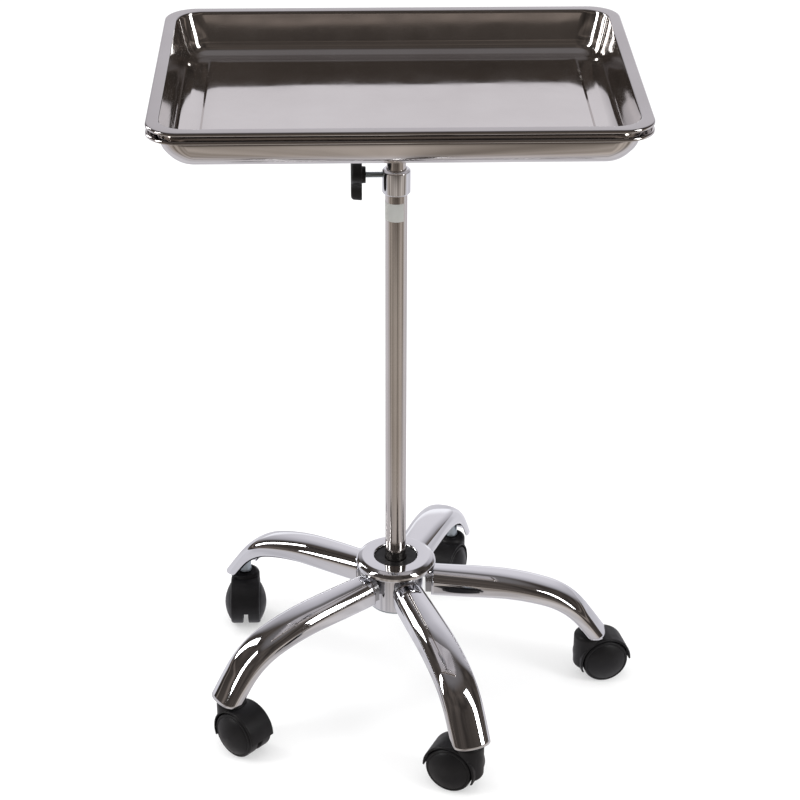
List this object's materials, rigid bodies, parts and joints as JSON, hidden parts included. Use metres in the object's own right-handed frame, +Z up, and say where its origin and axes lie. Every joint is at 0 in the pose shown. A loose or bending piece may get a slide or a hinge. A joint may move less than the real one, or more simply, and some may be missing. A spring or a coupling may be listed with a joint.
{
  "type": "instrument cart",
  "caption": "Instrument cart with a removable pressed tray in a carrier, on a telescoping pole with a clamp knob and a star base on twin-wheel swivel casters",
  "frame": {"origin": "on the floor under the pole's axis", "axes": "+Z up, +X to the cart's right, +Y to its back"},
  "size_m": [0.4875, 0.4418, 0.707],
  "materials": {
    "stainless_sheet": "polished",
    "stainless_tube": "polished",
    "chrome": "polished",
    "plain_steel": "satin",
    "zinc_steel": "satin",
    "black_plastic": "satin",
    "white_nylon": "satin",
    "label_film": "satin"
  },
  "bodies": {
    "base": {"outer_pole": "stainless_tube", "pole_collar": "chrome", "collar_bush": "white_nylon", "pole_label": "label_film", "hub_sleeve": "chrome", "hub_ring": "chrome", "base_bush": "black_plastic", "pole_plug": "plain_steel", "base_washer": "zinc_steel", "base_bolt": "zinc_steel", "hub_lugs": "plain_steel", "leg_1": "chrome", "leg_2": "chrome", "leg_3": "chrome", "leg_4": "chrome", "leg_5": "chrome", "stem_socket_1": "zinc_steel", "stem_socket_2": "zinc_steel", "stem_socket_3": "zinc_steel", "stem_socket_4": "zinc_steel", "stem_socket_5": "zinc_steel"},
    "guide": {"mast_guide": "white_nylon"},
    "mast": {"inner_tube": "stainless_tube", "mast_plug": "plain_steel", "retaining_screw": "zinc_steel", "carrier_flange": "plain_steel", "flange_studs": "zinc_steel", "flange_nuts": "zinc_steel", "mast_set_screw": "zinc_steel", "carrier_tray": "stainless_sheet"},
    "tray": {"instrument_tray": "stainless_sheet"},
    "pad": {"pressure_pad": "white_nylon"},
    "knob": {"clamp_screw": "zinc_steel", "clamp_knob": "black_plastic"},
    "caster_1": {"caster_hood_1": "black_plastic", "caster_stem_1": "zinc_steel", "caster_axle_1": "zinc_steel"},
    "wheel_1a": {"caster_wheel_1a": "black_plastic"},
    "wheel_1b": {"caster_wheel_1b": "black_plastic"},
    "caster_2": {"caster_hood_2": "black_plastic", "caster_stem_2": "zinc_steel", "caster_axle_2": "zinc_steel"},
    "wheel_2a": {"caster_wheel_2a": "black_plastic"},
    "wheel_2b": {"caster_wheel_2b": "black_plastic"},
    "caster_3": {"caster_hood_3": "black_plastic", "caster_stem_3": "zinc_steel", "caster_axle_3": "zinc_steel"},
    "wheel_3a": {"caster_wheel_3a": "black_plastic"},
    "wheel_3b": {"caster_wheel_3b": "black_plastic"},
    "caster_4": {"caster_hood_4": "black_plastic", "caster_stem_4": "zinc_steel", "caster_axle_4": "zinc_steel"},
    "wheel_4a": {"caster_wheel_4a": "black_plastic"},
    "wheel_4b": {"caster_wheel_4b": "black_plastic"},
    "caster_5": {"caster_hood_5": "black_plastic", "caster_stem_5": "zinc_steel", "caster_axle_5": "zinc_steel"},
    "wheel_5a": {"caster_wheel_5a": "black_plastic"},
    "wheel_5b": {"caster_wheel_5b": "black_plastic"}
  },
  "joints": [
    {"name": "mast_slide", "type": "slide", "parent": "base", "child": "guide", "axis": [0, 0, 1], "range_m": [-0.03, 0.35]},
    {"name": "tray_swivel", "type": "hinge", "parent": "guide", "child": "mast", "pos_m": [0, 0, 0.2], "axis": [0, 0, 1], "continuous": true},
    {"name": "tray_lift", "type": "slide", "parent": "mast", "child": "tray", "axis": [0, 0, 1], "range_m": [0, 0.12]},
    {"name": "pad_travel", "type": "slide", "parent": "base", "child": "pad", "axis": [-1, 0, 0], "range_m": [0, 0.003]},
    {"name": "knob_turn", "type": "hinge", "parent": "pad", "child": "knob", "pos_m": [-0.03, 0, 0.5945], "axis": [-1, 0, 0], "range_deg": [0, 1080]},
    {"name": "caster_1_swivel", "type": "hinge", "parent": "base", "child": "caster_1", "pos_m": [0.21094, -0.00515, 0.06], "axis": [0, 0, 1], "continuous": true},
    {"name": "wheel_1a_roll", "type": "hinge", "parent": "caster_1", "child": "wheel_1a", "pos_m": [0.22409, 0.00991, 0.025], "axis": [-0.2079, 0.9781, 0], "continuous": true},
    {"name": "wheel_1b_roll", "type": "hinge", "parent": "caster_1", "child": "wheel_1b", "pos_m": [0.22908, -0.01357, 0.025], "axis": [-0.2079, 0.9781, 0], "continuous": true},
    {"name": "caster_2_swivel", "type": "hinge", "parent": "base", "child": "caster_2", "pos_m": [0.07009, 0.19902, 0.06], "axis": [0, 0, 1], "continuous": true},
    {"name": "wheel_2a_roll", "type": "hinge", "parent": "caster_2", "child": "wheel_2a", "pos_m": [0.07317, 0.17926, 0.025], "axis": [0.8829, -0.4695, 0], "continuous": true},
    {"name": "wheel_2b_roll", "type": "hinge", "parent": "caster_2", "child": "wheel_2b", "pos_m": [0.05198, 0.19053, 0.025], "axis": [0.8829, -0.4695, 0], "continuous": true},
    {"name": "caster_3_swivel", "type": "hinge", "parent": "base", "child": "caster_3", "pos_m": [-0.16762, 0.12816, 0.06], "axis": [0, 0, 1], "continuous": true},
    {"name": "wheel_3a_roll", "type": "hinge", "parent": "caster_3", "child": "wheel_3a", "pos_m": [-0.15562, 0.11216, 0.025], "axis": [1, 0, 0], "continuous": true},
    {"name": "wheel_3b_roll", "type": "hinge", "parent": "caster_3", "child": "wheel_3b", "pos_m": [-0.17962, 0.11216, 0.025], "axis": [1, 0, 0], "continuous": true},
    {"name": "caster_4_swivel", "type": "hinge", "parent": "base", "child": "caster_4", "pos_m": [-0.17368, -0.11982, 0.06], "axis": [0, 0, 1], "continuous": true},
    {"name": "wheel_4a_roll", "type": "hinge", "parent": "caster_4", "child": "wheel_4a", "pos_m": [-0.1538, -0.12195, 0.025], "axis": [0.682, 0.7314, 0], "continuous": true},
    {"name": "wheel_4b_roll", "type": "hinge", "parent": "caster_4", "child": "wheel_4b", "pos_m": [-0.17016, -0.1395, 0.025], "axis": [0.682, 0.7314, 0], "continuous": true},
    {"name": "caster_5_swivel", "type": "hinge", "parent": "base", "child": "caster_5", "pos_m": [0.06939, -0.19926, 0.06], "axis": [0, 0, 1], "continuous": true},
    {"name": "wheel_5a_roll", "type": "hinge", "parent": "caster_5", "child": "wheel_5a", "pos_m": [0.04975, -0.20303, 0.025], "axis": [-0.4384, -0.8988, 0], "continuous": true},
    {"name": "wheel_5b_roll", "type": "hinge", "parent": "caster_5", "child": "wheel_5b", "pos_m": [0.06027, -0.18146, 0.025], "axis": [-0.4384, -0.8988, 0], "continuous": true}
  ],
  "couplings": [
    {"joint": "knob_turn", "follows": "pad_travel", "rad_per_m": 6283.2}
  ]
}
